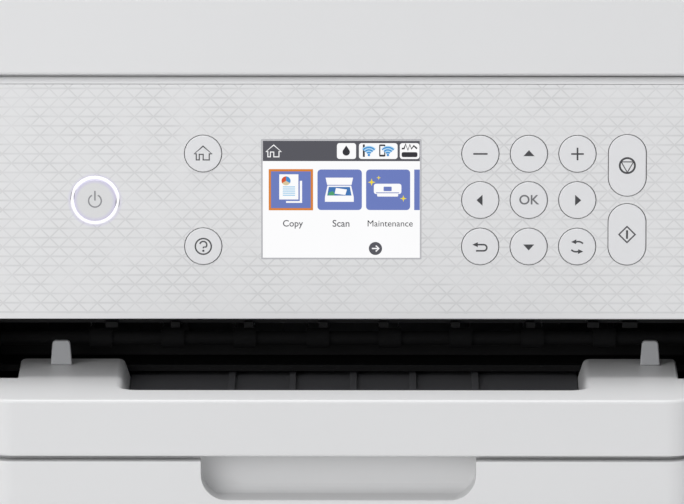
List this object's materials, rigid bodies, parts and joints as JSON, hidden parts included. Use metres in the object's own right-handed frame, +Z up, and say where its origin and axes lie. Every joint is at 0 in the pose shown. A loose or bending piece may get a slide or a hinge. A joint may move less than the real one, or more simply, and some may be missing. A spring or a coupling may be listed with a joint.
{
  "type": "inkjet printer",
  "caption": "Compact three-in-one inkjet printer with flatbed scanner lid, tilting keyed control panel and screen, slide-out output tray and paper cassette.",
  "frame": {"origin": "centre of the bounding box footprint, on the surface it stands on", "axes": "+X along the width to the viewer's right, +Y from the front to the back, +Z up"},
  "size_m": [0.375, 0.336, 0.17],
  "materials": {
    "housing_white": "fine matt moulded white",
    "tray_light": "satin light grey",
    "panel_print": "semi-gloss printed film",
    "key_white": "satin white",
    "screen": "gloss colour screen",
    "light_ring": "lit white light guide",
    "black_plastic": "fine matt black",
    "grey_plastic": "satin mid grey",
    "tab_grey": "satin grey",
    "foot_rubber": "matt",
    "roller_rubber": "ground matt",
    "steel": "zinc-plated sheet",
    "belt": "matt",
    "board": "green solder mask",
    "glass": "clear float glass",
    "mat_white": "white film on foam",
    "ink_black": "satin",
    "ink_cyan": "satin",
    "ink_magenta": "satin",
    "ink_yellow": "satin"
  },
  "bodies": {
    "base": {"lower_housing": "housing_white", "foot_front_left": "foot_rubber", "foot_front_right": "foot_rubber", "foot_rear_left": "foot_rubber", "foot_rear_right": "foot_rubber", "front_cover_left": "housing_white", "front_cover_right": "housing_white", "inner_frame": "black_plastic", "platen": "black_plastic", "star_wheel_bar": "black_plastic", "carriage_rail": "steel", "carriage_belt": "belt", "carriage_motor": "steel", "maintenance_station": "grey_plastic", "main_board": "board", "power_unit": "black_plastic", "power_inlet": "black_plastic", "data_socket": "steel"},
    "rear_cover": {"rear_access_cover": "housing_white"},
    "output_tray": {"output_tray": "tray_light", "tray_slab": "black_plastic", "tray_tab_left": "tab_grey", "tray_tab_right": "tab_grey"},
    "cassette": {"cassette_tub": "black_plastic", "cassette_front": "tray_light"},
    "guide_left": {"side_guide_left": "grey_plastic"},
    "guide_right": {"side_guide_right": "grey_plastic"},
    "guide_end": {"end_guide": "grey_plastic"},
    "control_panel": {"panel_housing": "housing_white", "panel_film": "panel_print", "lcd_screen": "screen", "power_light_ring": "light_ring"},
    "scanner_unit": {"scanner_housing": "housing_white", "scanner_bezel": "black_plastic", "scanner_glass": "glass", "scan_rod": "steel"},
    "scan_bar": {"scan_bar": "black_plastic"},
    "lid": {"document_lid": "housing_white", "lid_mat": "mat_white"},
    "carriage": {"print_carriage": "black_plastic"},
    "eject_roller": {"eject_roller": "roller_rubber"},
    "feed_roller": {"feed_roller": "roller_rubber"},
    "key_power": {"key_power": "key_white"},
    "key_home": {"key_home": "key_white"},
    "key_help": {"key_help": "key_white"},
    "key_minus": {"key_minus": "key_white"},
    "key_up": {"key_up": "key_white"},
    "key_plus": {"key_plus": "key_white"},
    "key_left": {"key_left": "key_white"},
    "key_ok": {"key_ok": "key_white"},
    "key_right": {"key_right": "key_white"},
    "key_back": {"key_back": "key_white"},
    "key_down": {"key_down": "key_white"},
    "key_swap": {"key_swap": "key_white"},
    "key_stop": {"key_stop": "key_white"},
    "key_start": {"key_start": "key_white"},
    "ink_black": {"ink_black": "ink_black"},
    "ink_cyan": {"ink_cyan": "ink_cyan"},
    "ink_magenta": {"ink_magenta": "ink_magenta"},
    "ink_yellow": {"ink_yellow": "ink_yellow"}
  },
  "joints": [
    {"name": "scanner_unit_hinge", "type": "hinge", "parent": "base", "child": "scanner_unit", "pos_m": [0, 0.1675, 0.1352], "axis": [-1, 0, 0], "range_deg": [0, 36]},
    {"name": "document_lid_hinge", "type": "hinge", "parent": "scanner_unit", "child": "lid", "pos_m": [0, 0.161, 0.16], "axis": [-1, 0, 0], "range_deg": [0, 85]},
    {"name": "scan_bar_slide", "type": "slide", "parent": "scanner_unit", "child": "scan_bar", "axis": [1, 0, 0], "range_m": [0, 0.3]},
    {"name": "control_panel_tilt", "type": "hinge", "parent": "base", "child": "control_panel", "pos_m": [0, -0.1295, 0.1321], "axis": [-1, 0, 0], "range_deg": [0, 45]},
    {"name": "key_power_press", "type": "slide", "parent": "control_panel", "child": "key_power", "axis": [0, 1, 0], "range_m": [0, 0.0006], "stiffness_N_per_m": 600},
    {"name": "key_home_press", "type": "slide", "parent": "control_panel", "child": "key_home", "axis": [0, 1, 0], "range_m": [0, 0.0006], "stiffness_N_per_m": 600},
    {"name": "key_help_press", "type": "slide", "parent": "control_panel", "child": "key_help", "axis": [0, 1, 0], "range_m": [0, 0.0006], "stiffness_N_per_m": 600},
    {"name": "key_minus_press", "type": "slide", "parent": "control_panel", "child": "key_minus", "axis": [0, 1, 0], "range_m": [0, 0.0006], "stiffness_N_per_m": 600},
    {"name": "key_up_press", "type": "slide", "parent": "control_panel", "child": "key_up", "axis": [0, 1, 0], "range_m": [0, 0.0006], "stiffness_N_per_m": 600},
    {"name": "key_plus_press", "type": "slide", "parent": "control_panel", "child": "key_plus", "axis": [0, 1, 0], "range_m": [0, 0.0006], "stiffness_N_per_m": 600},
    {"name": "key_left_press", "type": "slide", "parent": "control_panel", "child": "key_left", "axis": [0, 1, 0], "range_m": [0, 0.0006], "stiffness_N_per_m": 600},
    {"name": "key_ok_press", "type": "slide", "parent": "control_panel", "child": "key_ok", "axis": [0, 1, 0], "range_m": [0, 0.0006], "stiffness_N_per_m": 600},
    {"name": "key_right_press", "type": "slide", "parent": "control_panel", "child": "key_right", "axis": [0, 1, 0], "range_m": [0, 0.0006], "stiffness_N_per_m": 600},
    {"name": "key_back_press", "type": "slide", "parent": "control_panel", "child": "key_back", "axis": [0, 1, 0], "range_m": [0, 0.0006], "stiffness_N_per_m": 600},
    {"name": "key_down_press", "type": "slide", "parent": "control_panel", "child": "key_down", "axis": [0, 1, 0], "range_m": [0, 0.0006], "stiffness_N_per_m": 600},
    {"name": "key_swap_press", "type": "slide", "parent": "control_panel", "child": "key_swap", "axis": [0, 1, 0], "range_m": [0, 0.0006], "stiffness_N_per_m": 600},
    {"name": "key_stop_press", "type": "slide", "parent": "control_panel", "child": "key_stop", "axis": [0, 1, 0], "range_m": [0, 0.0006], "stiffness_N_per_m": 600},
    {"name": "key_start_press", "type": "slide", "parent": "control_panel", "child": "key_start", "axis": [0, 1, 0], "range_m": [0, 0.0006], "stiffness_N_per_m": 600},
    {"name": "output_tray_slide", "type": "slide", "parent": "base", "child": "output_tray", "axis": [0, -1, 0], "range_m": [0, 0.15]},
    {"name": "cassette_slide", "type": "slide", "parent": "base", "child": "cassette", "axis": [0, -1, 0], "range_m": [0, 0.28]},
    {"name": "side_guide_left_slide", "type": "slide", "parent": "cassette", "child": "guide_left", "axis": [1, 0, 0], "range_m": [0, 0.05]},
    {"name": "side_guide_right_slide", "type": "slide", "parent": "cassette", "child": "guide_right", "axis": [-1, 0, 0], "range_m": [0, 0.05]},
    {"name": "end_guide_slide", "type": "slide", "parent": "cassette", "child": "guide_end", "axis": [0, -1, 0], "range_m": [0, 0.1]},
    {"name": "carriage_slide", "type": "slide", "parent": "base", "child": "carriage", "axis": [-1, 0, 0], "range_m": [0, 0.25]},
    {"name": "ink_black_lift", "type": "slide", "parent": "carriage", "child": "ink_black", "axis": [0, 0, 1], "range_m": [0, 0.028]},
    {"name": "ink_cyan_lift", "type": "slide", "parent": "carriage", "child": "ink_cyan", "axis": [0, 0, 1], "range_m": [0, 0.028]},
    {"name": "ink_magenta_lift", "type": "slide", "parent": "carriage", "child": "ink_magenta", "axis": [0, 0, 1], "range_m": [0, 0.028]},
    {"name": "ink_yellow_lift", "type": "slide", "parent": "carriage", "child": "ink_yellow", "axis": [0, 0, 1], "range_m": [0, 0.028]},
    {"name": "feed_roller_turn", "type": "hinge", "parent": "base", "child": "feed_roller", "pos_m": [0, 0.024, 0.0475], "axis": [1, 0, 0], "continuous": true},
    {"name": "eject_roller_turn", "type": "hinge", "parent": "base", "child": "eject_roller", "pos_m": [0, -0.096, 0.0465], "axis": [1, 0, 0], "continuous": true},
    {"name": "rear_cover_slide", "type": "slide", "parent": "base", "child": "rear_cover", "axis": [0, 1, 0], "range_m": [0, 0.03]}
  ],
  "couplings": [
    {"joint": "side_guide_right_slide", "follows": "side_guide_left_slide", "ratio": 1},
    {"joint": "eject_roller_turn", "follows": "feed_roller_turn", "ratio": 1.75}
  ]
}
